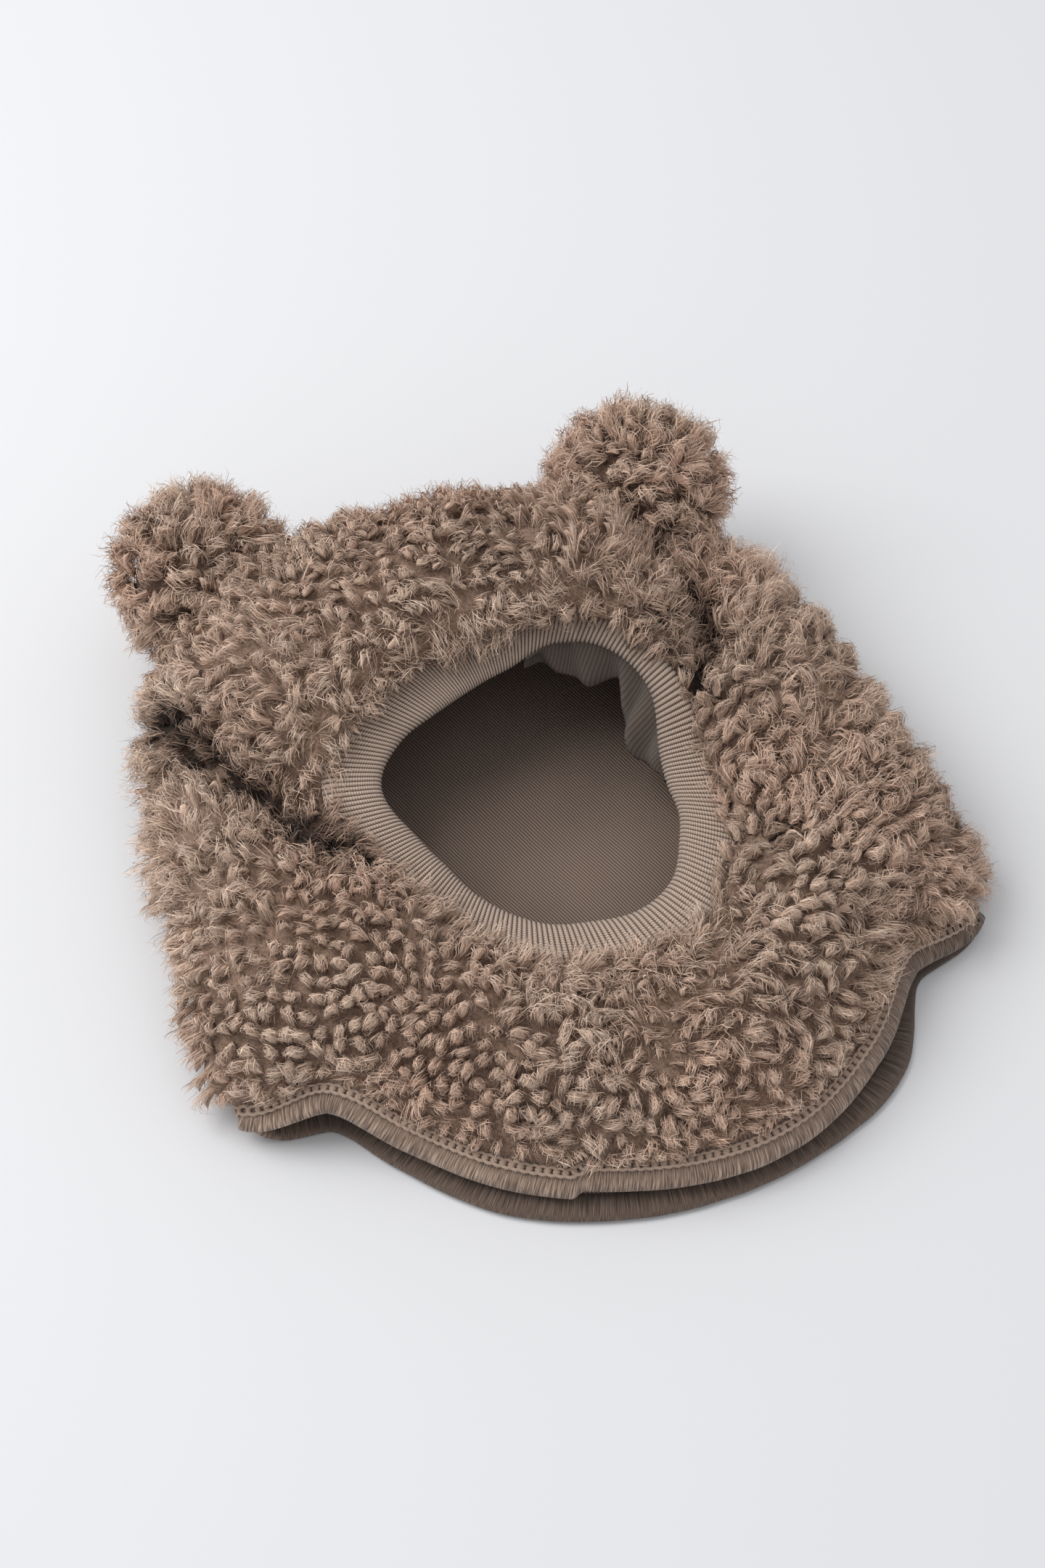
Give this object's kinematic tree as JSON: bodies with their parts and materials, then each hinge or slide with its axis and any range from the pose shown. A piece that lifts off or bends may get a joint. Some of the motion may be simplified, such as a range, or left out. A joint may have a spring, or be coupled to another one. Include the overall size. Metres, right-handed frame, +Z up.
{
  "type": "baby hat with ears",
  "caption": "Toddler's balaclava in curly pile fleece with round padded ears, a rib band round the face and an overlocked neck hem, lying empty on its back.",
  "frame": {"origin": "centre of the bounding box on the floor it rests on", "axes": "+Z up out of the face opening, +Y towards the crown and ears, -Y towards the neck hem, +X across from ear to ear"},
  "size_m": [0.274, 0.3134, 0.0814],
  "materials": {
    "fleece": "curly taupe pile",
    "lining": "matt jersey",
    "rib": "matt rib knit",
    "hem": "matt overlock stitching"
  },
  "bodies": {
    "root": {"fleece_hood": "fleece", "ear_left": "fleece", "ear_right": "fleece", "lining": "lining", "face_band": "rib", "neck_hem": "hem"}
  },
  "joints": []
}
